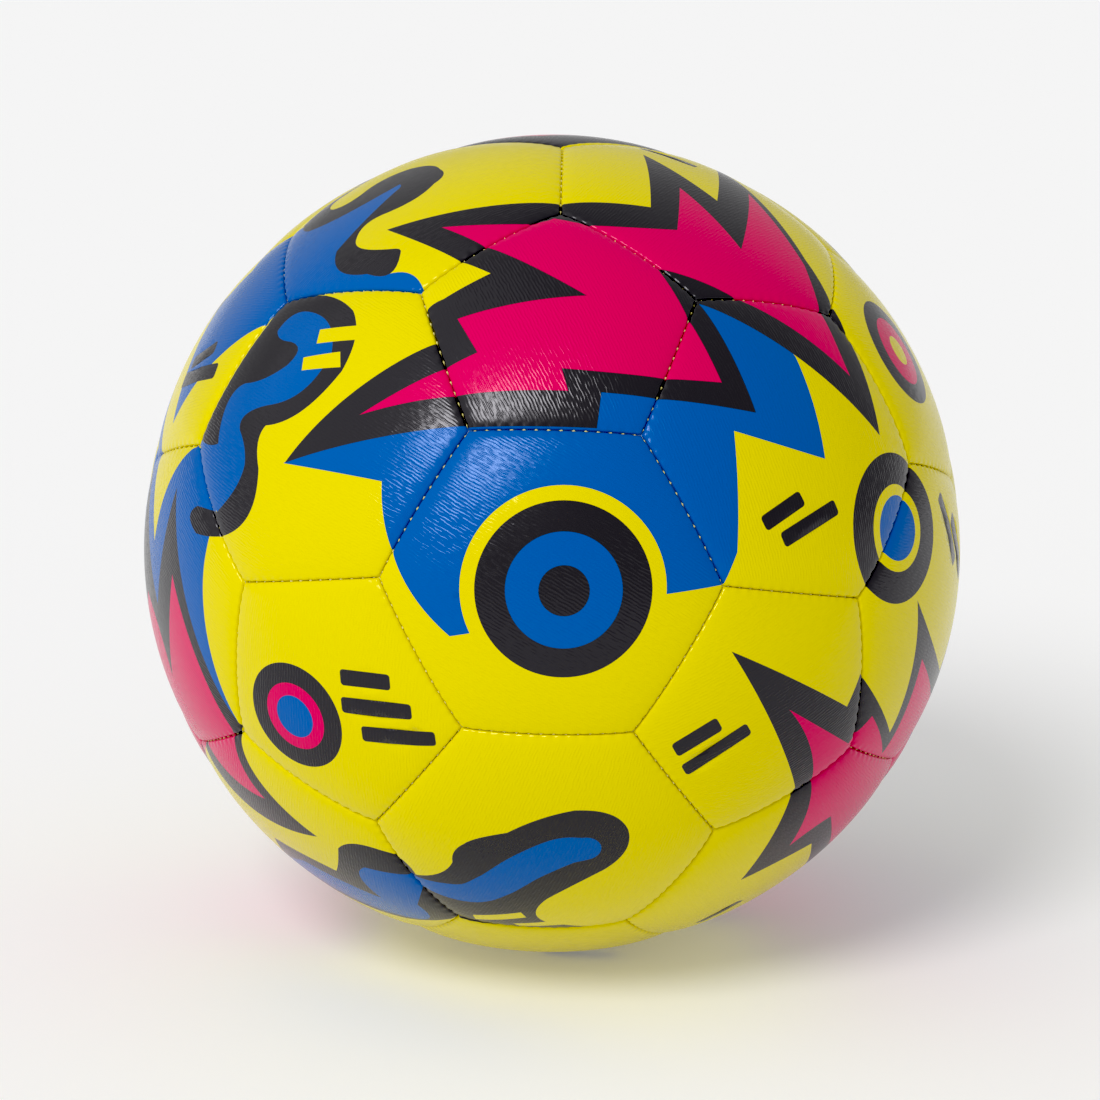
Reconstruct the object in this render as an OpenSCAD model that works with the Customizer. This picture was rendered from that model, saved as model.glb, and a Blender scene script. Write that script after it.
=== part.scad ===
// Size 5 soccer ball: 20 hexagon and 12 pentagon panels, sewn along 90 seams over foam,
// cloth and an air bladder with a needle valve.
// Millimetres. The origin is the ball's centre, +Z is up as the ball rests, and the ball's
// front faces -Y.

/* [Ball] */
// Radius of the ball at the crown of a panel
ball_r = 110; // [109.5:0.1:111]
// How far the folded edge along a seam lies below the crowns
seam_drop = 1.6; // [1.2:0.1:1.8]
// Turn of the sewn pattern about X, then Y, then Z, as the ball rests
ball_turn = [-29.8, 32.4, -135.8]; // [-180:0.1:180]

/* [Wall] */
// Thickness of the cover sheet
cover_t = 0.8; // [0.6:0.1:0.9]
// Radius at which the foam ends and the cloth lining begins
foam_inner_r = 105.9; // [105.7:0.1:106.1]
// Thickness of the cloth lining
lining_t = 0.9; // [0.6:0.1:1]
// Thickness of the rubber bladder
bladder_t = 0.8; // [0.6:0.1:1.2]

/* [Seams] */
// Gap between the folded edges of two panels
seam_gap = 0.15; // [0.1:0.05:0.2]
// Radius of the sewing thread
thread_r = 0.3; // [0.2:0.05:0.3]

/* [Valve] */
// Hexagon that the valve comes through
valve_hexagon = 9; // [1:1:20]
// Radius of the needle passage in the valve core
needle_r = 1.2; // [1.1:0.05:1.3]
// Depth of the needle passage below its countersink
needle_depth = 6; // [4:0.5:6.5]
// Radius of the valve's stem
stem_r = 4; // [3.8:0.1:5]
// Radius of the flange that is bonded inside the bladder
flange_r = 11; // [8:0.5:14]

/* [Hidden] */
$fn = 180;

// Play between layers that only lie against each other
play = 0.05;

HEXAGONS = 20;
PENTAGONS = 12;

// The seams follow a truncated icosahedron. This is its corner radius, in seam lengths.
corner_ratio = sqrt(58 + 18 * sqrt(5)) / 4;
half_seam = asin(0.5 / corner_ratio);

// Latitudes of the panel centres, with pentagon_01 at the north pole
pent_lat = atan(1 / 2);
hex_lat_high = 90 - side_angle(5) - side_angle(6);
hex_lat_low = hex_lat_high - 2 * side_angle(6);

// Radius at the folded edges, and at each face of the wall below the foam
edge_r = ball_r - seam_drop;
lining_outer_r = foam_inner_r - play;
lining_inner_r = lining_outer_r - lining_t;
bladder_r = lining_inner_r - play;
bladder_inner_r = bladder_r - bladder_t;

// Section of a folded edge, as [depth below the edge, distance in from the seam]. It ends high
// over the crown, so that only the fold itself cuts the dome.
fold_foot = [2, 0];
fold_shoulder = [0.75, 0.4];
fold_top = [0.1, 1.1];
fold_profile = [[50, 0], fold_foot, fold_shoulder, fold_top, [-7, 15]];

// The thread rests in the groove between two folds, clear of both.
fold_slope = (fold_shoulder[1] - fold_foot[1]) / (fold_foot[0] - fold_shoulder[0]);
thread_rise = ((thread_r + play) / cos(atan(fold_slope)) - seam_gap / 2) / fold_slope;
thread_path_r = edge_r - fold_foot[0] + thread_rise;
// Angle left free at each end of a thread, at the corner where three seams meet
thread_end = 0.3;

// Heights of the valve's faces along its axis, from the ball's centre
stem_top = ball_r - 0.4;
stem_foot = bladder_inner_r - 3;
core_top = ball_r - 0.7;
countersink = 0.7;
core_r = 2.2;
collar_r = 3;
collar_low = bladder_inner_r - 0.6;
collar_high = collar_low + 1.5;
flange_t = 1.4;

THREAD_NODES = ["hexagon_seam_thread", "pentagon_seam_thread"];
LAYER_NODES = ["hexagon_foam", "pentagon_foam", "hexagon_lining", "pentagon_lining"];
INNER_NODES = ["bladder", "valve_housing", "valve_core"];

// ---- names and places ----

function two_digits(i) = str(i < 10 ? "0" : "", i);
function hexagon_name(i) = str("hexagon_", two_digits(i));
function pentagon_name(i) = str("pentagon_", two_digits(i));

// Angle at the ball's centre from a panel's centre to the middle of its side
function side_angle(sides) =
    let (corner = 0.5 / sin(180 / sides), depth = sqrt(corner_ratio ^ 2 - corner ^ 2))
    atan(0.5 / tan(180 / sides) / depth);

// A panel's place is [latitude, longitude, turn about its own centre]. A hexagon's own +X points
// at the middle of a side that meets a pentagon, a pentagon's own +X at one of its corners.
function hexagon_place(i) =
    let (ring = floor((i - 1) / 5), lon = 72 * ((i - 1) % 5))
    ring == 0 ? [hex_lat_high, lon + 36, 60] :
    ring == 1 ? [hex_lat_low, lon + 36, 0] :
    ring == 2 ? [-hex_lat_low, lon, 60] :
    [-hex_lat_high, lon, 0];

function pentagon_place(i) =
    i == 1 ? [90, 0, 0] :
    i == PENTAGONS ? [-90, 0, 0] :
    i <= 6 ? [pent_lat, 72 * (i - 2), 36] :
    [-pent_lat, 72 * (i - 7) + 36, 0];

function centre_of(place) =
    [cos(place[0]) * cos(place[1]), cos(place[0]) * sin(place[1]), sin(place[0])];

hexagon_centres = [for (i = [1:HEXAGONS]) centre_of(hexagon_place(i))];
pentagon_centres = [for (i = [1:PENTAGONS]) centre_of(pentagon_place(i))];

// Puts a shape made on +Z at a panel's place on the resting ball
module at_panel(place)
    rotate(ball_turn)
        rotate([0, 90 - place[0], place[1]])
            rotate(place[2])
                children();

// Turns the XY plane into the plane of the seam between two panels, with +X at its middle.
// first_side is the angle from the first panel's centre to its side.
module at_seam(first, second, first_side) {
    apart = acos(first * second);
    middle = (first * sin(apart - first_side) + second * sin(first_side)) / sin(apart);
    along = cross(first, second) / sin(apart);
    up = cross(middle, along);
    rotate(ball_turn)
        multmatrix([
            [middle[0], along[0], up[0], 0],
            [middle[1], along[1], up[1], 0],
            [middle[2], along[2], up[2], 0],
            [0, 0, 0, 1]
        ])
            children();
}

// ---- one panel, made on +Z ----

// Radius of the dome that has its crown at ball_r and its sides at edge_r
function dome_r(sides) =
    let (reach = edge_r * cos(side_angle(sides)))
    (ball_r ^ 2 + edge_r ^ 2 - 2 * ball_r * reach) / (2 * (ball_r - reach));

module dome(sides, shrink)
    translate([0, 0, ball_r - dome_r(sides)])
        sphere(dome_r(sides) - shrink);

// Wedge between the seam planes, with its sides moved in and folded over at the top
module wedge(sides, edge, inset) {
    lean = side_angle(sides);
    first_corner = sides == 6 ? 30 : 0;
    rings = [
        for (p = fold_profile)
            let (out = edge - p[0], in = inset + p[1])
            [(out * sin(lean) - in * cos(lean)) / cos(180 / sides), out * cos(lean) + in * sin(lean)]
    ];
    points = [
        for (ring = rings, k = [0:sides - 1])
            let (a = first_corner + 360 * k / sides)
            [ring[0] * cos(a), ring[0] * sin(a), ring[1]]
    ];
    top = len(rings) - 1;
    bands = [
        for (r = [0:top - 1], k = [0:sides - 1])
            let (next = (k + 1) % sides)
            [r * sides + k, (r + 1) * sides + k, (r + 1) * sides + next, r * sides + next]
    ];
    foot = [for (k = [0:sides - 1]) k];
    lid = [for (k = [sides - 1:-1:0]) top * sides + k];
    polyhedron(points, concat([foot, lid], bands));
}

// Everything in a panel that lies at least shrink below the crown and inset from the seams
module panel_body(sides, shrink, inset)
    intersection() {
        dome(sides, shrink);
        wedge(sides, edge_r - shrink, seam_gap / 2 + inset);
    }

// Printed sheet, turned down along the seams into a sewing flange
module cover(sides)
    difference() {
        panel_body(sides, 0, 0);
        panel_body(sides, cover_t, cover_t);
        sphere(lining_inner_r);
    }

module foam(sides)
    difference() {
        panel_body(sides, cover_t + play, cover_t + play);
        sphere(foam_inner_r);
    }

module lining(sides)
    difference() {
        intersection() {
            panel_body(sides, cover_t + play, cover_t + play);
            sphere(lining_outer_r);
        }
        sphere(lining_inner_r);
    }

// Round hole for the valve's stem
module stem_hole()
    cylinder(r = stem_r + play, h = ball_r + 5);

// ---- nodes ----

module hexagon(i)
    color("gold")
        at_panel(hexagon_place(i))
            difference() {
                cover(6);
                if (i == valve_hexagon) stem_hole();
            }

module pentagon(i)
    color(i == 1 ? "deeppink" : "gold")
        at_panel(pentagon_place(i))
            cover(5);

module hexagon_foam()
    color("white")
        for (i = [1:HEXAGONS])
            at_panel(hexagon_place(i))
                difference() {
                    foam(6);
                    if (i == valve_hexagon) stem_hole();
                }

module pentagon_foam()
    color("white")
        for (i = [1:PENTAGONS])
            at_panel(pentagon_place(i))
                foam(5);

module hexagon_lining()
    color("lightgray")
        for (i = [1:HEXAGONS])
            at_panel(hexagon_place(i))
                difference() {
                    lining(6);
                    if (i == valve_hexagon) stem_hole();
                }

module pentagon_lining()
    color("lightgray")
        for (i = [1:PENTAGONS])
            at_panel(pentagon_place(i))
                lining(5);

// One length of thread along a seam, lying in the seam's plane
module thread() {
    span = 2 * (half_seam - thread_end);
    rotate(-span / 2)
        rotate_extrude(angle = span)
            translate([thread_path_r, 0])
                circle(thread_r, $fn = 24);
}

// The 30 seams between two hexagons
module hexagon_seam_thread()
    color("ivory")
        for (i = [0:HEXAGONS - 2], j = [i + 1:HEXAGONS - 1])
            if (hexagon_centres[i] * hexagon_centres[j] > cos(2 * side_angle(6) + 1))
                at_seam(hexagon_centres[i], hexagon_centres[j], side_angle(6))
                    thread();

// The 60 seams between a hexagon and a pentagon
module pentagon_seam_thread()
    color("ivory")
        for (a = hexagon_centres, b = pentagon_centres)
            if (a * b > cos(side_angle(6) + side_angle(5) + 1))
                at_seam(a, b, side_angle(6))
                    thread();

module bladder()
    color("dimgray")
        at_panel(hexagon_place(valve_hexagon))
            difference() {
                sphere(bladder_r);
                sphere(bladder_inner_r);
                stem_hole();
            }

// Rubber flange inside the bladder, with a hollow stem that reaches the cover
module valve_housing()
    color("black")
        at_panel(hexagon_place(valve_hexagon))
            difference() {
                union() {
                    intersection() {
                        sphere(bladder_inner_r - play);
                        cylinder(r = flange_r, h = ball_r);
                    }
                    translate([0, 0, stem_foot])
                        cylinder(r = stem_r, h = stem_top - stem_foot);
                }
                difference() {
                    sphere(bladder_inner_r - play - flange_t);
                    translate([0, 0, stem_foot])
                        cylinder(r = stem_r, h = ball_r);
                }
                cylinder(r = core_r + play, h = ball_r + 5);
                translate([0, 0, collar_low - play])
                    cylinder(r = collar_r + play, h = collar_high - collar_low + 2 * play);
            }

// Soft plug held by its collar, with the needle passage closed at its foot
module valve_core()
    color("darkslategray")
        at_panel(hexagon_place(valve_hexagon))
            rotate_extrude()
                polygon([
                    [0, stem_foot],
                    [core_r, stem_foot],
                    [core_r, collar_low],
                    [collar_r, collar_low],
                    [collar_r, collar_high],
                    [core_r, collar_high],
                    [core_r, core_top],
                    [needle_r + countersink, core_top],
                    [needle_r, core_top - countersink],
                    [needle_r, core_top - countersink - needle_depth],
                    [0, core_top - countersink - needle_depth]
                ]);

for (i = [1:HEXAGONS])
    hexagon(i);
for (i = [1:PENTAGONS])
    pentagon(i);
hexagon_seam_thread();
pentagon_seam_thread();
hexagon_foam();
pentagon_foam();
hexagon_lining();
pentagon_lining();
bladder();
valve_housing();
valve_core();
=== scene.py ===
"""Looks of a sewn soccer ball: 32 printed panels, stitched seams, and a needle valve."""
import math

import bpy
import numpy as np
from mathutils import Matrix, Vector
from mathutils.geometry import delaunay_2d_cdt


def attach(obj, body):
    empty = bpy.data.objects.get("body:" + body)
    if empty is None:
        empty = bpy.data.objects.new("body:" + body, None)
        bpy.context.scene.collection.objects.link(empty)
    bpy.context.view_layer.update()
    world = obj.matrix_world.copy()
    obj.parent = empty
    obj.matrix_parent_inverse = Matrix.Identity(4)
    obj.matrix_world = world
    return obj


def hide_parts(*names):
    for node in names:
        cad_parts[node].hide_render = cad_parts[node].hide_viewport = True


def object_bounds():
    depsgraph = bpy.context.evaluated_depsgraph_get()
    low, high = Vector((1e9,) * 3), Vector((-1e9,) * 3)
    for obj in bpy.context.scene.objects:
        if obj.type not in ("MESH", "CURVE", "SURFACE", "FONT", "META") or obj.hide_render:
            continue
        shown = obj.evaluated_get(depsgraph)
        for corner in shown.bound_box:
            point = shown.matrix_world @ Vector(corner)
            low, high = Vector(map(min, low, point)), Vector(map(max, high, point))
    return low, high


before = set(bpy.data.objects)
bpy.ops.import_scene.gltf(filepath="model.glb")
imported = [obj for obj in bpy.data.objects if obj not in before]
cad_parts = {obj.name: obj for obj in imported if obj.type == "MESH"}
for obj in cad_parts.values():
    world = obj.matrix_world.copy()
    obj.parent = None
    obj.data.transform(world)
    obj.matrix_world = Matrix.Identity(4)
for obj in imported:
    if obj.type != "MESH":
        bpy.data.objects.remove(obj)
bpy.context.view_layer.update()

# Everything below is in millimetres in the CAD's frame, and scaled by MM when a mesh is made.
MM = 0.001

# ---- the sewn pattern, a truncated icosahedron ----

BALL_R = 110.0           # at the crown of a panel
TURN = (-29.8, 32.4, -135.8)   # turn of the pattern about X, then Y, then Z
CORNER_RATIO = math.sqrt(58 + 18 * math.sqrt(5)) / 4    # corner radius, in seam lengths
HALF_SEAM = math.asin(0.5 / CORNER_RATIO)
STITCHES = 14            # along one seam
SEAM_LENGTH = 2 * HALF_SEAM * BALL_R
PITCH = SEAM_LENGTH / STITCHES
VALVE_PANEL = "hexagon_09"
VALVE_R = 4.1            # hole in the cover round the valve
VALVE_LIP = 0.5          # radius of the hole's rounded edge
VALVE_DIMPLE = 0.25      # how far the cover sinks round the hole
DIMPLE_REACH = 2.5

# ---- section of a panel near its seams ----

GAP = 0.06               # between the folded edges of two panels
SHOULDER_DROP = 1.1      # how far the shoulders of a seam lie below the crowns
SHOULDER_REACH = 5.5     # how far in from the seam they begin to fall
FOLD_R = 0.75            # radius of the folded edge
FLANGE_R = 105.0         # foot of the sewing flange, from the ball's centre
SHEET_T = 0.8            # thickness of the printed sheet
DOME_DROP = 1.6          # how far the edges of the CAD panel's dome lie below its crown
PULL = 0.18              # how far a stitch pulls the edge down
PULL_REACH = 1.4         # how far in from the seam that is felt
HOLE = 0.1               # how far a stitch holds the edges apart
HOLE_REACH = 0.9

# ---- threads ----

THREAD_R = 0.27
THREAD_DEPTH = 0.6       # from the shoulders of a seam down to the top of a stitch
THREAD_RISE = 1.3        # from between two stitches to the top of one
THREAD_END = 0.5         # from the end of a seam to the end of its thread
THREAD_STEPS = 11        # rings of the tube along one stitch
THREAD_SIDES = 10        # points round the tube
CREST_POWER = 7          # how short the top of a stitch is
CORNER_DROP = 0.73       # how much lower the shoulders lie where three seams meet

# ---- outlines on charts, which are planes that touch the ball ----

CURVE_STEP = 1.2         # between the points of a bent side
SPLINE_STEP = 0.08       # of the way from one given point to the next
EDGE_COS = 0.3           # a chart is used out to this cosine from its middle for edges
PAINT_COS = 0.15         # and to this one for inks
FAR_OFF = 1e6            # chart place of what lies beyond that
NEAR_PANEL = 3           # edges are kept this far outside a panel

# ---- rows of mesh points on a panel ----

RIM_POINTS = 6 * STITCHES                  # along each side of a panel's edge
FOLD_ROWS = (15, 30, 45, 60, 75, 90)       # turned so many degrees round the fold
SKIN_ROWS = ((2.0, 56), (2.9, 42), (4.0, 28), (5.6, 20))    # inset, and points along a side
SKIN_GRID = (2.6, 7.2)                     # spacing, and inset from the sides
BACK_GRID = (6.0, 4.0)
LIP_ROWS = ((0, 72), (0.02, 72), (0.07, 72), (0.15, 72), (0.25, 72), (0.36, 72), (0.5, 72),
            (0.9, 48), (1.5, 48))          # out from the valve's hole, and points on the row
SKIN_CLEAR, BACK_CLEAR = 1.8, 3.0          # from the valve's hole to the grid

# ---- inks and relief of the cover ----

INKS = {
    "yellow": (0.70, 0.60, 0.0),
    "blue": (0.0, 0.102, 0.385),
    "pink": (0.63, 0.0, 0.103),
    "black": (0.0195, 0.0185, 0.021),
}
BACKING = (0.55, 0.55, 0.52)
# Direction of the embossed ridges, in degrees from level, seen from outside.
GRAIN = {"hexagon_01": -31, "pentagon_01": -67, "hexagon_05": -15}
RIDGE_SCALE = 0.355      # of the wave texture, for ridges 0.88 mm apart
RIDGE_HEIGHT = 0.00005   # in metres
RIDGES_BEGIN, RIDGES_FULL = 1.2, 3.5       # distances from a seam

# ---- floor, light and camera ----

FLOOR_SIZE = 30          # metres
FLOOR_GREY = 0.75
FLOOR_GLOW = 0.19
SKY = 0.52
BLACK_POINT = 0.03
CAMERA_DISTANCE = 1.6    # metres
CAMERA_HEIGHT = 15.4     # degrees above level
CAMERA_AIM = (-0.0006, 0, -0.0019)
CAMERA_LENS = 194.2


def side_angle(sides):
    """Angle at the ball's centre from a panel's centre to the middle of its side."""
    corner = 0.5 / math.sin(math.pi / sides)
    depth = math.sqrt(CORNER_RATIO ** 2 - corner ** 2)
    return math.atan(0.5 / math.tan(math.pi / sides) / depth)


def turn(axis, degrees):
    """Matrix of a turn about X (0), Y (1) or Z (2)."""
    a = math.radians(degrees)
    m = np.eye(3)
    i, j = (axis + 1) % 3, (axis + 2) % 3
    m[i, i] = m[j, j] = math.cos(a)
    m[i, j], m[j, i] = -math.sin(a), math.sin(a)
    return m


BALL_TURN = turn(2, TURN[2]) @ turn(1, TURN[1]) @ turn(0, TURN[0])
HIGH = 90 - math.degrees(side_angle(5) + side_angle(6))
LOW = HIGH - 2 * math.degrees(side_angle(6))
MIDDLE = math.degrees(math.atan(0.5))


def panel_axes(lat, lon, twist):
    """A panel's own axes as columns: +Z is its centre."""
    return BALL_TURN @ turn(2, lon) @ turn(1, 90 - lat) @ turn(2, twist)


def pattern():
    """Name -> (number of sides, axes) of the 32 panels."""
    found = {}
    rings = ((HIGH, 36, 60), (LOW, 36, 0), (-LOW, 0, 60), (-HIGH, 0, 0))
    for ring, (lat, first, twist) in enumerate(rings):
        for k in range(5):
            name = f"hexagon_{5 * ring + k + 1:02d}"
            found[name] = 6, panel_axes(lat, first + 72 * k, twist)
    found["pentagon_01"] = 5, panel_axes(90, 0, 0)
    for k in range(5):
        found[f"pentagon_{k + 2:02d}"] = 5, panel_axes(MIDDLE, 72 * k, 36)
        found[f"pentagon_{k + 7:02d}"] = 5, panel_axes(-MIDDLE, 36 + 72 * k, 0)
    found["pentagon_12"] = 5, panel_axes(-90, 0, 0)
    return found


PANELS = pattern()


# ---- the print, as outlines on planes that touch the ball ----

def place(azimuth, elevation, twist=0):
    """Axes of a plane that touches the ball. X runs right and Y up, seen from outside."""
    a, e = math.radians(azimuth), math.radians(elevation)
    out = np.array((math.sin(a) * math.cos(e), -math.cos(a) * math.cos(e), math.sin(e)))
    right = np.array((math.cos(a), math.sin(a), 0.0))
    return np.column_stack((right, np.cross(out, right), out)) @ turn(2, twist)


def curve(outline):
    """Closed outline as points. A tuple is a corner, and a list bends the side it stands in."""
    points = []
    for i, item in enumerate(outline):
        if isinstance(item, list):
            continue
        after = outline[(i + 1) % len(outline)]
        end = outline[(i + 2) % len(outline)] if isinstance(after, list) else after
        a, b = np.array(item, float), np.array(end, float)
        pull = np.array(after, float) if isinstance(after, list) else (a + b) / 2
        count = max(1, round(np.linalg.norm(b - a) / CURVE_STEP))
        t = np.arange(count)[:, None] / count
        points.append((1 - t) ** 2 * a + 2 * t * (1 - t) * pull + t ** 2 * b)
    return np.vstack(points)


def circle(x, y, radius, count=96):
    """Circle as points, anticlockwise."""
    t = np.linspace(0, 2 * math.pi, count + 1)[:-1]
    return np.column_stack((x + radius * np.cos(t), y + radius * np.sin(t)))


def bar(x, y, length, width, angle, radius=1.0):
    """Bar with rounded corners, about its middle."""
    a = math.radians(angle)
    corners = [(-1, -1), (1, -1), (1, 1), (-1, 1)]
    points = []
    for i, (sx, sy) in enumerate(corners):
        cx, cy = sx * (length / 2 - radius), sy * (width / 2 - radius)
        for t in np.radians(np.linspace(-180, -90, 6) + 90 * i):
            px, py = cx + radius * math.cos(t), cy + radius * math.sin(t)
            points.append((x + px * math.cos(a) - py * math.sin(a),
                           y + px * math.sin(a) + py * math.cos(a)))
    return np.array(points)


def spline(points):
    """Smooth line through points, with as many numbers each as they have."""
    p = np.array(points, float)
    p = np.vstack((2 * p[0] - p[1], p, 2 * p[-1] - p[-2]))
    found = []
    for i in range(1, len(p) - 2):
        for t in np.arange(0, 1, SPLINE_STEP):
            found.append(0.5 * (2 * p[i] + (p[i + 1] - p[i - 1]) * t
                                + (2 * p[i - 1] - 5 * p[i] + 4 * p[i + 1] - p[i + 2]) * t ** 2
                                + (3 * p[i] - p[i - 1] - 3 * p[i + 1] + p[i + 2]) * t ** 3))
    found.append(p[-2])
    return np.array(found)


def ribbon(points):
    """Wave of changing width with round ends, from (x, y, width) along its middle."""
    line = spline(points)
    middle, half = line[:, :2], line[:, 2] / 2
    ahead = np.gradient(middle, axis=0)
    ahead /= np.linalg.norm(ahead, axis=1)[:, None]
    left = np.column_stack((-ahead[:, 1], ahead[:, 0]))
    arc = np.radians(np.linspace(90, -90, 14)[1:-1])[:, None]
    cap_end = middle[-1] + half[-1] * (np.cos(arc) * ahead[-1] + np.sin(arc) * left[-1])
    cap_start = middle[0] - half[0] * (np.cos(arc) * ahead[0] + np.sin(arc) * left[0])
    return np.vstack((middle + left * half[:, None], cap_end,
                      (middle - left * half[:, None])[::-1], cap_start))


PRINT = []


def ink(colour, axes, outline, only=None, skip=()):
    """Adds an outline in one colour over what is there already, on all panels or on some."""
    PRINT.append((colour, axes, outline, set(only or PANELS) - set(skip)))


def crown_burst(axes, point_only=()):
    """Burst with a black edge. Panels in point_only get only the long left point of the edge."""
    ink("black", axes, curve([
        (-55, 32), [-17, 26], (21, 24), [25, 45], (28, 66), [35, 50], (45, 37), [56, 67],
        (67, 96), [65, 58], (77, 23), [98, -10], (115, -45), [73, -27], (30, -11), [39, -28],
        (47, -46), [24, -44], (0, -41), (-2, -52), (-40, -48), [-80, -46], (-121, -47),
        [-84, -29], (-44, -19), [-51, -6], (-39, -5), (-25, 0), [-41, 15]]), skip=point_only)
    if point_only:
        ink("black", axes, curve([
            (-20, -48), [-80, -46], (-121, -47), [-84, -29], (-44, -19), (-20, -10)]), point_only)
    ink("pink", axes, curve([
        (-37, 23), [-12, 15], (-6, 19), [7, 12], (27, 15), [30, 27], (33, 39), [40, 26],
        (47, 13), [56, 35], (65, 58), [67, 38], (75, 19), [77, -5], (91, -24), [55, -10],
        (19, 0), [27, -19], (35, -37), [12, -37], (-10, -33), (-9, -40), [-42, -36],
        (-75, -37), [-54, -31], (-32, -25), (-36, -13), [-18, -11], (-1, -11), [-20, 5]]))


def top_burst(axes):
    ink("black", axes, curve([
        (2, 5), [14, 15], (30, 25), [50, 28], (84, 34), [58, 50], (50, 66), [66, 90], (74, 116),
        [30, 98], (6, 94), [-20, 108], (-56, 118), [-46, 90], (-42, 66), [-64, 56], (-80, 36),
        [-60, 30], (-48, 20), [-18, 17]]))
    ink("pink", axes, curve([
        (-3, 20), [12, 28], (24, 36), [38, 38], (60, 42), [44, 54], (38, 68), [48, 86], (52, 98),
        [26, 86], (6, 82), [-16, 92], (-40, 100), [-34, 82], (-32, 62), [-46, 54], (-56, 42),
        [-38, 34], (-24, 30), [-10, 26]]))


def front_field(axes):
    ink("blue", axes, curve([
        (-92, 34), [-70, 29], (-48, 24), [-47, -2], (-27, -18), (28, -7), [38, -6], (48, -5),
        (52, 4), [53, 22], (54, 40), [74, 37], (95, 36), [96, 58], (93, 78), (84, 90),
        (70, 97), (50, 98), (0, 70), (-40, 55)]))
    ink("yellow", axes, circle(3, -5.5, 27))
    ink("black", axes, circle(3, -5.5, 23))
    ink("blue", axes, circle(3, -5.5, 15))
    ink("black", axes, circle(3, -5.5, 6.5))


def right_burst(axes):
    ink("black", axes, curve([
        (-63, 50), [-38, 39], (-13, 25), (-9, 34), [2, 22], (13, 10), [19, 30], (17, 51),
        [30, 29], (50, 16), [62, 24], (78, 46), [80, 16], (66, -2), [84, -6], (104, -2),
        [74, -24], (52, -26), [60, -44], (56, -66), [36, -60], (20, -49), [10, -37],
        (0, -25), [-12, -28], (-22, -36), [-23, -17], (-23, 1), [-42, 26]]))
    ink("pink", axes, curve([
        (-36, 28), [-21, 20], (-7, 12), (0, 19), [8, 11], (15, 2), [20, 16], (23, 30),
        [37, 16], (53, 3), [66, 4], (84, 2), [60, -14], (42, -20), [48, -36], (47, -52),
        [34, -48], (25, -41), [12, -28], (0, -14), [-7, -16], (-12, -22), [-13, 8]]))


def left_burst(axes):
    ink("blue", axes, curve([
        (26, 61), [14, 50], (9, 25), [-4, 48], (-30, 74), [-24, 40], (-24, 22), [-48, 30],
        (-72, 30), [-44, 4], (-28, -4), [10, -40], (53, -19), [44, 10],
        (46.5, 30), (47.5, 37), (50, 44), (44, 56)]))
    ink("black", axes, curve([
        (22, 45), [36, 11], (54, -21), [43, -33], (72, -67), [19, -56], (17, -33), [6, -40],
        (-8, -64), [-14, -44], (-22, -34), [-42, -44], (-66, -46), [-44, -22], (-34, -12),
        [-52, 2], (-62, 20), [-30, 4], (-14, 2), [-10, 24], (-12, 44), [2, 24], (12, 8),
        [19, 26]]))
    ink("pink", axes, curve([
        (26, 20), [39, 0], (48, -22), [43, -36], (51, -48), [33, -44], (21, -31), [10, -40],
        (-4, -50), [-8, -36], (-14, -28), [-30, -34], (-48, -34), [-30, -16], (-22, -8),
        [-10, -2], (-2, 8), [14, 3], (14, -12), [22, 3]]))


def target(axes, *rings):
    """Rings inside each other, as (colour, radius) from the outermost."""
    for colour, radius in rings:
        ink(colour, axes, circle(0, 0, radius))


def bars(axes, *places):
    """Black bars, each given as bar() takes it."""
    for item in places:
        ink("black", axes, bar(*item))


def tall_wave(axes, only=None):
    """Black wave with a blue channel and two yellow bars across its head."""
    ink("black", axes, curve([
        (-25, 14), [-8, 20], (5, 14), [13, 8], (12, -3), [7, -19], (-6, -22), [-9, -26],
        (-4, -34), [1, -51], (-16, -57), [-22, -59], (-30, -59), [-39, -54], (-31, -50),
        (-20, -50), (-38, -32), (-31, -13), (-25, 6)]), only)
    ink("blue", axes, curve([
        (-18, 4), [-17, 11], (-10, 11), [2, 11], (6, 1), [6, -12], (-6, -16), [-20, -20],
        (-16, -25), [-11, -29], (-10, -34), [-10, -42], (-20, -50), (-38, -32), (-37, -30),
        [-30, -32], (-25, -30), [-30, -15], (-21, -12), [-13, -11], (-7, -5), [-3, 1],
        (-10, 1.5), [-16, 1]]), only)
    ink("yellow", axes, curve([(-2, 6.5), (13, 11.5), (15, 7.5), (-0.5, 2.5)]), only)
    ink("yellow", axes, curve([(-2.5, -2), (8.5, 2), (11, -2), (-1, -5.5)]), only)


def loop_wave(axes, only):
    """Blue field with a black wave that turns back on itself round a blue tongue."""
    ink("blue", axes, curve([
        (-18, 41), (-13, 36), (-9, 26), (-9, 10), (0, 4), (13.5, 5), [20, 10], (27, 4.5),
        (40, -10), (-26, -40), (-60, -30), (-58, 14), (-46, 18), (-35, 19), [-22, 22]]), only)
    ink("black", axes, curve([
        (-50, 56), [-50, 36], (-46.5, 19.5), [-41.5, 15], (-35, 14.5), [-20, 17], (-16.5, 37.5),
        [-14, 37], (-13.7, 33.5), [-10.5, 20.5], (-10, 7), [-4, -2.3], (7, 2.8), [18, 3],
        (12, 11.6), [11, 13.7], (9, 12.7), [-3.7, 6.7], (-7, 12.5), [-11, 18], (-6.3, 23.5),
        [-0.2, 31.3], (-3.8, 40.3), [-4, 47], (-11, 49), [-18, 53], (-25, 48.5), [-31.5, 42],
        (-29, 32.5), [-28, 25], (-35, 24.5), [-41, 25.5], (-43, 31), [-43, 46]]), only)


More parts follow.
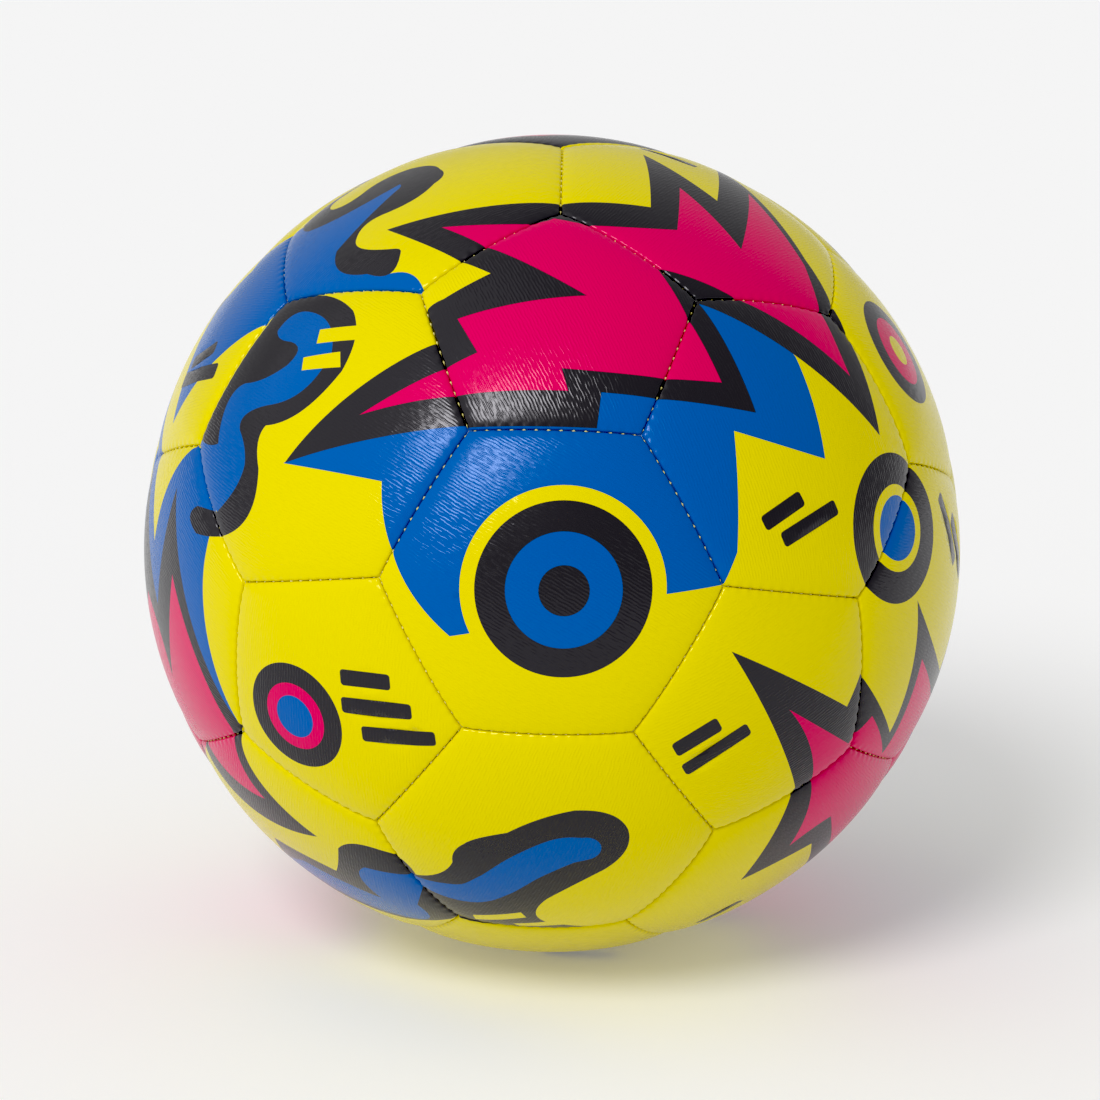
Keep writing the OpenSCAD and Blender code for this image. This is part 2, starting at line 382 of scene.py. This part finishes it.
def wedge_field(axes, only):
    """Blue field that ends in a tip, with two short bars across it."""
    ink("blue", axes, curve([
        (30, 30), (19, 17), [14, 12], (7, 1), [2, -6], (-5, -22), [-10, -12], (-19, -1),
        (-26, 9), (-20, 24), (-36, 37), (0, 60)]), only)
    ink("black", axes, bar(-5, -1.5, 15, 4, 33), only)
    ink("black", axes, bar(-1, -6.5, 24, 4.5, 22), only)


def low_wave(axes):
    """Wave that runs over a seam, black with a blue channel and two yellow bars."""
    ink("black", axes, curve([
        (-19, -8), [-20, -1], (-28, 0), [-38, 2], (-43, -6), [-45, -16], (-48, -22),
        [-60, -22], (-80, -30), (-90, -66), (-30, -44), (-12, -33), (12, -36), (26, -38),
        (14, -29), [9, -22], (16, -14), [23, -8], (33, -3), [43, 3], (42, 12), [40, 21],
        (28, 22), [18, 21], (9, 15), [0, 13], (-3, 10), [-7, 7], (-7, 2), [-10, -5]]))
    ink("blue", axes, curve([
        (-19, -9), (-35, -11), [-42, -17], (-34, -29), [-52, -28], (-66, -32), (-84, -50),
        [-52, -50], (-25, -40), [-17, -36], (-22, -26), (-18, -14)]))
    ink("blue", axes, ribbon([
        (-20, -11, 4), (-12, -12.5, 7.5), (-4, -12, 9.5), (3, -7, 10.5), (12, 1, 11),
        (22, 6.5, 11), (29, 7, 9)]))
    ink("yellow", axes, curve([(-6, -26), (8, -21.5), (9, -25), (-6, -30)]))
    ink("yellow", axes, curve([(4.5, -30.5), (18, -28), (24, -32), (6, -33)]))


def build_print():
    """Lays the figures on the ball, the lowest first."""
    front_field(place(0, 12))
    crown_burst(place(8, 56), ("hexagon_05",))
    left_burst(place(-78, -8))
    right_burst(place(52, -25))
    wedge_field(place(-75, 32), ("pentagon_06",))
    loop_wave(place(-50, 50), ("hexagon_04",))
    tall_wave(place(-45, 38), ("hexagon_05", "hexagon_10"))
    low_wave(place(-12, -35))
    top_burst(place(0, 88))
    bars(place(109, 69), (-5.4, 9.1, 17, 3, 47, 0.8), (6, 5, 11, 3, 47, 0.8))
    bars(place(41, -52), (3, -4, 14, 4, 66))
    # The side turned away repeats the same figures.
    front_field(place(177, -34))
    crown_burst(place(185, 10))
    right_burst(place(-135, 25))
    left_burst(place(114, -44))
    tall_wave(place(118, 40))
    right_burst(place(-125, -46, 10))
    target(place(132, 2), ("black", 15), ("pink", 9.5), ("blue", 6))
    bars(place(132, 2), (26, 7, 21, 4.5, 2), (28, -1, 21, 4.5, 0))
    bars(place(20, -80), (0, 4, 20, 4.5, 30), (5, -3, 14, 4.5, 30))
    # Targets and bars of the side in view.
    target(place(-38, -12), ("black", 15), ("pink", 9.5), ("blue", 6))
    bars(place(-38, -12), (24, 14, 15, 4.5, 0), (26.5, 6, 21, 4.5, -1), (32, -2, 22, 4.5, -2))
    bars(place(37, 18), (-5.5, -1.5, 14, 4.2, 20), (2.5, -6, 20, 4.2, 17))
    bars(place(22, -15), (-3.5, 5, 13.5, 4.5, 31), (2.5, 0.5, 20, 4, 32))
    bars(place(75, 6), (-3, 1, 22, 4.2, -69), (7, -6.5, 22, 5, -60))
    target(place(56.4, 10.8), ("black", 20), ("yellow", 11.5), ("blue", 8.6))
    target(place(78.2, 31.9), ("black", 15.5), ("pink", 10), ("yellow", 4.3))


build_print()


# ---- the surface of one panel ----

def seam_frames(sides):
    """For each side of a panel made on +Z: inward normal of the seam's plane, the direction
    along it, and its middle, as rows of three matrices."""
    lean = side_angle(sides)
    angles = 2 * math.pi * (np.arange(sides) + (0.5 if sides == 5 else 0)) / sides
    c, s = np.cos(angles), np.sin(angles)
    inward = np.column_stack((-c * math.cos(lean), -s * math.cos(lean),
                              np.full(sides, math.sin(lean))))
    along = np.column_stack((-s, c, np.zeros(sides)))
    middle = np.column_stack((c * math.sin(lean), s * math.sin(lean),
                              np.full(sides, math.cos(lean))))
    return inward, along, middle


def unit(v):
    """Rows made one long."""
    return v / np.linalg.norm(v, axis=-1, keepdims=True)


def to_chart(directions):
    """Chart points of directions from the ball's centre."""
    return BALL_R * directions[:, :2] / directions[:, 2:]


def from_chart(chart):
    """Directions from the ball's centre to chart points."""
    return unit(np.column_stack((chart, np.full(len(chart), BALL_R))))


def lift(chart, sides, valve):
    """Points of the outer skin for chart points, with their distance to the nearest seam."""
    inward, along, middle = seam_frames(sides)
    n = from_chart(chart)
    d = np.maximum(BALL_R * n @ inward.T, 0)
    s = BALL_R * np.arctan2(n @ along.T, n @ middle.T)
    stitch = 0.5 - 0.5 * np.cos(2 * math.pi * s / PITCH)
    stitch = stitch * np.clip((SEAM_LENGTH / 2 - np.abs(s)) / (PITCH / 2), 0, 1)
    shoulder = SHOULDER_DROP * np.sqrt(np.exp(-2 * d / SHOULDER_REACH).sum(1))
    near = -np.log(np.exp(-3 * d).sum(1)) / 3
    t = np.clip(1 - near / FOLD_R, 0, 1)
    fold = FOLD_R * (1 - np.sqrt(1 - t ** 2))
    pull = PULL * (stitch * np.exp(-(d / PULL_REACH) ** 2)).sum(1)
    r = BALL_R - shoulder - fold - pull
    if valve:
        rho = np.linalg.norm(chart, axis=1)
        t = np.clip(1 - (rho - VALVE_R) / VALVE_LIP, 0, 1)
        dimple = VALVE_DIMPLE * np.exp(-((rho - VALVE_R) / DIMPLE_REACH) ** 2)
        r = r - dimple - VALVE_LIP * (1 - np.sqrt(1 - t ** 2))
    aside = (GAP / 2 + HOLE * stitch ** 2) * np.exp(-(d / HOLE_REACH) ** 2)
    return r[:, None] * n + aside @ inward, d.min(1)


def ring(sides, apothem, inset, per_side):
    """Points round a regular polygon in the chart, inset from its sides, anticlockwise."""
    half = 0.5 * (2 * math.pi / sides)
    first = half if sides == 6 else 0.0
    radius = (apothem - inset) / math.cos(half)
    angles = first + 2 * math.pi * np.arange(sides + 1) / sides
    corners = radius * np.column_stack((np.cos(angles), np.sin(angles)))
    t = np.arange(per_side)[:, None] / per_side
    return np.vstack([corners[k] * (1 - t) + corners[k + 1] * t for k in range(sides)])


def inside(points, polygon):
    """Which points lie inside a closed polygon."""
    found = np.zeros(len(points), bool)
    low, high = polygon.min(0), polygon.max(0)
    near = ((points >= low) & (points <= high)).all(1)
    if not near.any():
        return found
    x, y = points[near].T
    hit = np.zeros(len(x), bool)
    x0, y0 = polygon.T
    x1, y1 = np.roll(polygon, -1, axis=0).T
    for ax, ay, bx, by in zip(x0, y0, x1, y1):
        if ay == by:
            continue
        crossed = (ay > y) != (by > y)
        hit ^= crossed & (x < (bx - ax) * (y - ay) / (by - ay) + ax)
    found[near] = hit
    return found


class Sketch:
    """Points and edges for the triangulation of one chart."""

    def __init__(self):
        self.points, self.edges, self.count = [], [], 0

    def add(self, points, closed=None):
        """Adds points, joined into a line or a loop, and returns their numbers."""
        numbers = np.arange(self.count, self.count + len(points))
        self.points.append(points)
        self.count += len(points)
        if closed is not None:
            ends = np.roll(numbers, -1)
            pairs = np.column_stack((numbers, ends))
            self.edges.append(pairs if closed else pairs[:-1])
        return numbers

    def solve(self, outer):
        points = np.vstack(self.points)
        edges = [tuple(int(v) for v in e) for e in np.vstack(self.edges)]
        made = delaunay_2d_cdt([Vector(p) for p in points], edges,
                               [[int(v) for v in outer]], 1, 1e-5)
        return np.array([v[:] for v in made[0]]), np.array(made[2])


def grid(apothem, sides, step, clear):
    """Even triangular grid inside the panel."""
    reach = apothem / math.cos(math.pi / sides)
    rows = np.arange(-reach, reach, step * math.sqrt(3) / 2)
    points = [(x + step / 2 * (k % 2), y) for k, y in enumerate(rows)
              for x in np.arange(-reach, reach, step)]
    points = np.array(points)
    return points[inside(points, ring(sides, apothem, clear, 1))]


def print_lines(name, apothem):
    """Print outlines near a panel, in its chart, as short lines."""
    sides, axes = PANELS[name]
    reach = apothem / math.cos(math.pi / sides) + NEAR_PANEL
    for _, place_axes, outline, only in PRINT:
        if name not in only:
            continue
        n = np.column_stack((outline, np.full(len(outline), BALL_R))) @ place_axes.T @ axes
        ok = n[:, 2] > EDGE_COS * np.linalg.norm(n, axis=1)
        chart = np.full((len(n), 2), FAR_OFF)
        chart[ok] = to_chart(n[ok])
        near = np.linalg.norm(chart, axis=1) < reach
        keep = (near | np.roll(near, 1) | np.roll(near, -1)) & ok
        if keep.all():
            yield chart, True
            continue
        run = []
        first_out = int(np.argmin(keep))
        for i in np.roll(np.arange(len(n)), -first_out):
            if keep[i]:
                run.append(chart[i])
            elif run:
                yield np.array(run), False
                run = []
        if run:
            yield np.array(run), False


def paint(name, centres):
    """Ink of each face, from directions of the face centres in the ball's frame."""
    names = list(INKS)
    found = np.full(len(centres), names.index("yellow"))
    for colour, axes, outline, only in PRINT:
        if name not in only:
            continue
        local = centres @ axes
        ok = local[:, 2] > PAINT_COS
        chart = np.full((len(local), 2), FAR_OFF)
        chart[ok] = to_chart(local[ok])
        found[inside(chart, outline)] = names.index(colour)
    return found


def boundary_loops(faces):
    """Closed loops of vertex numbers round the rim of a triangle mesh, in the faces' order."""
    a = np.vstack((faces[:, [0, 1]], faces[:, [1, 2]], faces[:, [2, 0]]))
    key = {(int(i), int(j)) for i, j in a}
    after = {i: j for i, j in key if (j, i) not in key}
    loops = []
    while after:
        start = next(iter(after))
        loop, at = [], start
        while at in after:
            loop.append(at)
            at = after.pop(at)
        loops.append(loop)
    return loops


def make_mesh(name, points, faces):
    """Smooth-shaded piece from points in millimetres."""
    mesh = bpy.data.meshes.new(name)
    mesh.from_pydata((points * MM).tolist(), [], [list(map(int, f)) for f in faces])
    mesh.polygons.foreach_set("use_smooth", [True] * len(mesh.polygons))
    mesh.update()
    piece = bpy.data.objects.new(name, mesh)
    bpy.context.collection.objects.link(piece)
    return piece


def write_layer(mesh, name, kind, domain, key, values):
    """Stores values on the mesh. key is Blender's word for what one entry holds."""
    mesh.attributes.new(name, kind, domain).data.foreach_set(key, values.ravel())


def off_valve(points, clear):
    """The points that lie clear of the valve's hole."""
    return points[np.linalg.norm(points, axis=1) > VALVE_R + clear]


def cut_hole(chart, faces):
    """Faces outside the valve's hole."""
    middle = chart[faces].mean(1)
    return faces[np.linalg.norm(middle, axis=1) > VALVE_R - 0.01]


def skin_chart(name, apothem, stretch):
    """Points and faces of a panel's outer skin in its chart, cut along the print."""
    sides, _ = PANELS[name]
    sketch = Sketch()
    outer = sketch.add(ring(sides, apothem, 0, RIM_POINTS), True)
    for angle in FOLD_ROWS:
        inset = FOLD_R * (1 - math.cos(math.radians(angle))) * stretch
        sketch.add(ring(sides, apothem, inset, RIM_POINTS), True)
    for inset, per_side in SKIN_ROWS:
        sketch.add(ring(sides, apothem, inset * stretch, per_side), True)
    step, inset = SKIN_GRID
    dots = grid(apothem, sides, step, inset * stretch)
    if name == VALVE_PANEL:
        dots = off_valve(dots, SKIN_CLEAR)
        for out, count in LIP_ROWS:
            sketch.add(circle(0, 0, VALVE_R + out, count), True)
    sketch.add(dots)
    for line, closed in print_lines(name, apothem):
        sketch.add(line, closed)
    chart, faces = sketch.solve(outer)
    if name == VALVE_PANEL:
        faces = cut_hole(chart, faces)
        used = np.unique(faces)
        renumber = np.full(len(chart), -1)
        renumber[used] = np.arange(len(used))
        chart, faces = chart[used], renumber[faces]
    return chart, faces


class Shell:
    """Points and faces of a panel, which grows from its outer skin to a closed shell."""

    def __init__(self, skin, faces):
        self.points, self.faces, self.count = [skin], [faces], len(skin)

    def add(self, points):
        """Adds points and returns their numbers."""
        numbers = np.arange(self.count, self.count + len(points))
        self.points.append(points)
        self.count += len(points)
        return numbers

    def wall(self, loop, row):
        """Joins a loop to a new row of points, and returns the row's numbers."""
        now = self.add(row)
        loop_next, now_next = np.roll(loop, -1), np.roll(now, -1)
        self.faces.append(np.column_stack((loop, now, now_next)))
        self.faces.append(np.column_stack((loop, now_next, loop_next)))
        return now


def add_walls(shell, name, chart, loop, shrink):
    """Walls from one rim of the skin to the inner face: a flange with its foot, or the wall of
    the valve's hole. Returns the last row, its chart points, and whether it is the hole's."""
    skin = shell.points[0]
    hole = name == VALVE_PANEL and np.linalg.norm(chart[loop[0]]) < 2 * VALVE_R
    inner_chart = chart[loop] if hole else chart[loop] * shrink
    n = from_chart(inner_chart)
    top = inner_radius(n, PANELS[name][0])[:, None]
    if hole:
        rows = [unit(skin[loop]) * top]
    else:
        rows = [unit(skin[loop]) * FLANGE_R, n * FLANGE_R, n * top]
    for row in rows:
        loop = shell.wall(loop, row)
    return loop, inner_chart, hole


def add_back(shell, name, apothem, rims):
    """Inner face of the sheet, between the last rows of the walls."""
    sides, _ = PANELS[name]
    sketch = Sketch()
    known, outer = [], None
    for numbers, chart, hole in rims:
        got = sketch.add(chart, True)
        known.extend(numbers)
        outer = outer if hole else got
    dots = grid(apothem, sides, *BACK_GRID)
    if name == VALVE_PANEL:
        dots = off_valve(dots, BACK_CLEAR)
    sketch.add(dots)
    chart, faces = sketch.solve(outer)
    faces = faces[:, ::-1]
    if name == VALVE_PANEL:
        faces = cut_hole(chart, faces)
    n = from_chart(chart[len(known):])
    numbers = shell.add(n * inner_radius(n, sides)[:, None])
    shell.faces.append(np.concatenate((known, numbers))[faces])


def build_panel(name, material):
    """One panel: printed skin, folded edge, flange and the sheet's inner face."""
    sides, axes = PANELS[name]
    lean = side_angle(sides)
    apothem = BALL_R * math.tan(lean)
    stretch = 1 / math.cos(lean) ** 2
    chart, faces = skin_chart(name, apothem, stretch)
    skin, seam_d = lift(chart, sides, name == VALVE_PANEL)
    shell = Shell(skin, faces)
    shrink = (apothem - SHEET_T * stretch) / apothem
    rims = [add_walls(shell, name, chart, np.array(loop), shrink)
            for loop in boundary_loops(faces)]
    add_back(shell, name, apothem, rims)
    points = np.vstack(shell.points) @ axes.T
    all_faces = np.vstack(shell.faces)
    piece = make_mesh(name + "_panel", points, all_faces)

    # Only the skin is printed. The rest of the sheet has the colour of its backing.
    inks = paint(name, unit(from_chart(chart)[faces].sum(1)) @ axes.T)
    colours = np.ones((len(all_faces), 4))
    colours[:, :3] = BACKING
    colours[:len(inks), :3] = np.array(list(INKS.values()))[inks]
    write_layer(piece.data, "ink", "FLOAT_COLOR", "FACE", "color", colours)
    depth = np.zeros(len(points))
    depth[:len(skin)] = seam_d
    write_layer(piece.data, "seam", "FLOAT", "POINT", "value", depth)
    grain = grain_angle(name)
    flat = np.zeros((len(points), 3))
    c, s = math.cos(grain), math.sin(grain)
    flat[:len(skin), 0] = chart[:, 0] * c + chart[:, 1] * s
    flat[:len(skin), 1] = -chart[:, 0] * s + chart[:, 1] * c
    write_layer(piece.data, "flat", "FLOAT_VECTOR", "POINT", "vector", flat)
    piece.data.materials.append(material)
    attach(piece, "root")
    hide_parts(name)


def grain_angle(name):
    """Angle of the ridges in the panel's chart. A panel not in GRAIN lies at a direction that
    its name gives, as if it was cut from the sheet any way round."""
    axes = PANELS[name][1]
    out = axes[:, 2]
    chance = (sum(ord(ch) * (i + 3) for i, ch in enumerate(name)) * 37) % 180
    azimuth = math.degrees(math.atan2(out[0], -out[1]))
    elevation = math.degrees(math.asin(out[2]))
    ridge = place(azimuth, elevation, GRAIN.get(name, chance))[:, 0]
    return math.atan2(ridge @ axes[:, 1], ridge @ axes[:, 0])


def dome_radius(sides):
    """Radius of the CAD panel's dome, which has its crown at BALL_R."""
    edge = BALL_R - DOME_DROP
    reach = edge * math.cos(side_angle(sides))
    return (BALL_R ** 2 + edge ** 2 - 2 * BALL_R * reach) / (2 * (BALL_R - reach))


def inner_radius(n, sides):
    """Radius of the sheet's inner face along each direction, on the CAD panel's inner dome."""
    dome = dome_radius(sides)
    centre = BALL_R - dome
    b = centre * n[:, 2]
    return b + np.sqrt(b ** 2 - centre ** 2 + (dome - SHEET_T) ** 2)


# ---- materials ----

def node_material(name):
    """New material with its nodes, links and shader."""
    material = bpy.data.materials.new(name)
    material.use_nodes = True
    nodes, links = material.node_tree.nodes, material.node_tree.links
    return material, nodes, links, nodes["Principled BSDF"]


def cover_material():
    """Glossy printed cover with embossed ridges."""
    material, nodes, links, shader = node_material("printed_cover")
    ink_node = nodes.new("ShaderNodeAttribute")
    ink_node.attribute_name = "ink"
    flat = nodes.new("ShaderNodeAttribute")
    flat.attribute_name = "flat"
    seam = nodes.new("ShaderNodeAttribute")
    seam.attribute_name = "seam"
    links.new(ink_node.outputs["Color"], shader.inputs["Base Color"])
    shader.inputs["Roughness"].default_value = 0.22
    # Reflections on the ink take some of its hue.
    parts = nodes.new("ShaderNodeSeparateColor")
    parts.mode = "HSV"
    links.new(ink_node.outputs["Color"], parts.inputs["Color"])
    paler = nodes.new("ShaderNodeMath")
    paler.operation = "MULTIPLY"
    paler.inputs[1].default_value = 0.5
    links.new(parts.outputs["Green"], paler.inputs[0])
    tint = nodes.new("ShaderNodeCombineColor")
    tint.mode = "HSV"
    tint.inputs["Blue"].default_value = 1.0
    links.new(parts.outputs["Red"], tint.inputs["Red"])
    links.new(paler.outputs["Value"], tint.inputs["Green"])
    links.new(tint.outputs["Color"], shader.inputs["Specular Tint"])
    shader.inputs["Specular IOR Level"].default_value = 0.5
    # Short wavy ridges, broken off at chance and pressed into the sheet.
    wave = nodes.new("ShaderNodeTexWave")
    wave.bands_direction = "Y"
    wave.inputs["Scale"].default_value = RIDGE_SCALE
    wave.inputs["Distortion"].default_value = 3.0
    wave.inputs["Detail"].default_value = 1.0
    wave.inputs["Detail Scale"].default_value = 0.9
    links.new(flat.outputs["Vector"], wave.inputs["Vector"])
    stretched = nodes.new("ShaderNodeMapping")
    stretched.inputs["Scale"].default_value = (0.4, 1.1, 1.0)
    links.new(flat.outputs["Vector"], stretched.inputs["Vector"])
    breaks = nodes.new("ShaderNodeTexNoise")
    breaks.inputs["Scale"].default_value = 1.0
    breaks.inputs["Detail"].default_value = 0.0
    links.new(stretched.outputs["Vector"], breaks.inputs["Vector"])
    gate = nodes.new("ShaderNodeMapRange")
    gate.inputs["From Min"].default_value = 0.38
    gate.inputs["From Max"].default_value = 0.58
    gate.inputs["To Min"].default_value = 0.25
    links.new(breaks.outputs["Fac"], gate.inputs["Value"])
    height = nodes.new("ShaderNodeMath")
    height.operation = "MULTIPLY"
    links.new(wave.outputs["Fac"], height.inputs[0])
    links.new(gate.outputs["Result"], height.inputs[1])
    fade = nodes.new("ShaderNodeMapRange")
    fade.inputs["From Min"].default_value = RIDGES_BEGIN
    fade.inputs["From Max"].default_value = RIDGES_FULL
    links.new(seam.outputs["Fac"], fade.inputs["Value"])
    bump = nodes.new("ShaderNodeBump")
    bump.inputs["Distance"].default_value = RIDGE_HEIGHT
    links.new(fade.outputs["Result"], bump.inputs["Strength"])
    links.new(height.outputs["Value"], bump.inputs["Height"])
    links.new(bump.outputs["Normal"], shader.inputs["Normal"])
    return material


def plain_material(name, colour, roughness):
    """One colour, slightly mottled."""
    material, nodes, links, shader = node_material(name)
    noise = nodes.new("ShaderNodeTexNoise")
    noise.inputs["Scale"].default_value = 300
    place_node = nodes.new("ShaderNodeTexCoord")
    links.new(place_node.outputs["Object"], noise.inputs["Vector"])
    ramp = nodes.new("ShaderNodeMix")
    ramp.data_type = "RGBA"
    ramp.inputs["A"].default_value = (*[c * 0.85 for c in colour], 1)
    ramp.inputs["B"].default_value = (*[min(1, c * 1.15) for c in colour], 1)
    links.new(noise.outputs["Fac"], ramp.inputs["Factor"])
    links.new(ramp.outputs["Result"], shader.inputs["Base Color"])
    shader.inputs["Roughness"].default_value = roughness
    return material


# ---- the seams ----

def seams():
    """(name of the thread node, middle, along, across) of the 90 seams."""
    found = []
    names = list(PANELS)
    for i, first in enumerate(names):
        for second in names[i + 1:]:
            (m, a), (k, b) = PANELS[first], PANELS[second]
            ca, cb = a[:, 2], b[:, 2]
            apart = math.acos(max(-1.0, ca @ cb))
            if apart > side_angle(m) + side_angle(k) + 0.02:
                continue
            mid = unit(ca * math.sin(apart - side_angle(m)) + cb * math.sin(side_angle(m)))
            across = unit(cb - ca - mid * ((cb - ca) @ mid))
            kind = "hexagon" if m == k == 6 else "pentagon"
            found.append((kind + "_seam_thread", mid, np.cross(mid, across), across))
    return found


def stitch_line(mid, along):
    """Middle line of the thread of one seam."""
    length = SEAM_LENGTH / 2 - THREAD_END
    s = np.linspace(-length, length, THREAD_STEPS * STITCHES + 1)
    crest = (0.5 - 0.5 * np.cos(2 * math.pi * s / PITCH)) ** CREST_POWER
    ends = np.exp(-(SEAM_LENGTH / 2 - np.abs(s)) / SHOULDER_REACH)
    shoulder = SHOULDER_DROP * (1 + CORNER_DROP * ends)
    r = BALL_R - shoulder - THREAD_DEPTH - THREAD_RISE * (1 - crest)
    a = s / BALL_R
    return r[:, None] * (np.cos(a)[:, None] * mid + np.sin(a)[:, None] * along)


def tube(line, across, first):
    """Points and faces of a closed tube round a line. first is the number of its first point."""
    ahead = unit(np.gradient(line, axis=0))
    up = unit(np.cross(ahead, across))
    t = 2 * math.pi * np.arange(THREAD_SIDES) / THREAD_SIDES
    points = (line[:, None] + THREAD_R * (np.cos(t)[None, :, None] * across
              + np.sin(t)[None, :, None] * up[:, None])).reshape(-1, 3)
    numbers = first + np.arange(len(points)).reshape(-1, THREAD_SIDES)
    beside = np.roll(numbers, -1, axis=1)
    walls = np.stack((numbers[:-1], beside[:-1], beside[1:], numbers[1:]), axis=-1)
    faces = walls.reshape(-1, 4).tolist()
    faces.append(numbers[0, ::-1].tolist())
    faces.append(numbers[-1].tolist())
    return points, faces


def build_threads(material):
    """One piece of thread for all the seams of one kind."""
    groups = {}
    for node, mid, along, across in seams():
        groups.setdefault(node, []).append((mid, along, across))
    for node, members in groups.items():
        points, faces, count = [], [], 0
        for mid, along, across in members:
            tube_points, tube_faces = tube(stitch_line(mid, along), across, count)
            points.append(tube_points)
            faces.extend(tube_faces)
            count += len(tube_points)
        piece = make_mesh(node.replace("_seam_thread", "_stitches"), np.vstack(points), faces)
        piece.data.materials.append(material)
        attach(piece, "root")
        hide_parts(node)


# ---- the object ----

COVER = cover_material()
THREAD = plain_material("seam_thread", (0.75, 0.68, 0.25), 0.6)
for panel in PANELS:
    build_panel(panel, COVER)
build_threads(THREAD)

# CAD nodes that are shown as they are: colour and roughness.
CARRIED = {
    "hexagon_foam": ((0.75, 0.74, 0.68), 0.9), "pentagon_foam": ((0.75, 0.74, 0.68), 0.9),
    "hexagon_lining": ((0.6, 0.6, 0.58), 0.85), "pentagon_lining": ((0.6, 0.6, 0.58), 0.85),
    "bladder": ((0.03, 0.03, 0.03), 0.6), "valve_housing": ((0.02, 0.02, 0.02), 0.5),
    "valve_core": ((0.12, 0.12, 0.12), 0.5),
}
for node, (colour, roughness) in CARRIED.items():
    made = plain_material(node, colour, roughness)
    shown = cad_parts[node]
    shown.data.materials.clear()
    shown.data.materials.append(made)

# ---- studio ----

low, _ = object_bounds()
bpy.ops.mesh.primitive_plane_add(size=FLOOR_SIZE, location=(0, 0, low.z))
floor = bpy.context.object
floor.name = "floor"
paper, _, _, shader = node_material("floor")
shader.inputs["Base Color"].default_value = (FLOOR_GREY, FLOOR_GREY, FLOOR_GREY, 1)
shader.inputs["Emission Color"].default_value = (1, 1, 1, 1)
shader.inputs["Emission Strength"].default_value = FLOOR_GLOW
shader.inputs["Roughness"].default_value = 0.9
floor.data.materials.append(paper)

world = bpy.data.worlds.new("studio")
bpy.context.scene.world = world
world.use_nodes = True
sky = world.node_tree.nodes["Background"]
sky.inputs["Color"].default_value = (1, 1, 1, 1)
sky.inputs["Strength"].default_value = SKY


def soft_sun(name, azimuth, elevation, spread, strength):
    """Softbox far away, so that the floor is lit evenly. The angles say where it stands, and
    how wide it looks."""
    data = bpy.data.lights.new(name, "SUN")
    data.angle = math.radians(spread)
    data.energy = strength
    lamp = bpy.data.objects.new(name, data)
    bpy.context.collection.objects.link(lamp)
    toward = Vector(place(azimuth, elevation)[:, 2])
    lamp.rotation_euler = toward.to_track_quat("Z", "Y").to_euler()


soft_sun("key", -66, 40, 90, 0.55)
soft_sun("front", -27, 43, 22, 1.55)

camera_data = bpy.data.cameras.new("camera")
camera = bpy.data.objects.new("camera", camera_data)
bpy.context.collection.objects.link(camera)
elevation = math.radians(CAMERA_HEIGHT)
camera.location = (0, -CAMERA_DISTANCE * math.cos(elevation), CAMERA_DISTANCE * math.sin(elevation))
toward = Vector(CAMERA_AIM) - camera.location
camera.rotation_euler = toward.to_track_quat("-Z", "Y").to_euler()
camera_data.sensor_width = 36
camera_data.lens = CAMERA_LENS
camera_data.clip_start, camera_data.clip_end = 0.05, 50
bpy.context.scene.camera = camera
view = bpy.context.scene.view_settings
view.view_transform = "Standard"
view.use_curve_mapping = True
view.curve_mapping.black_level = (BLACK_POINT,) * 3
view.curve_mapping.update()
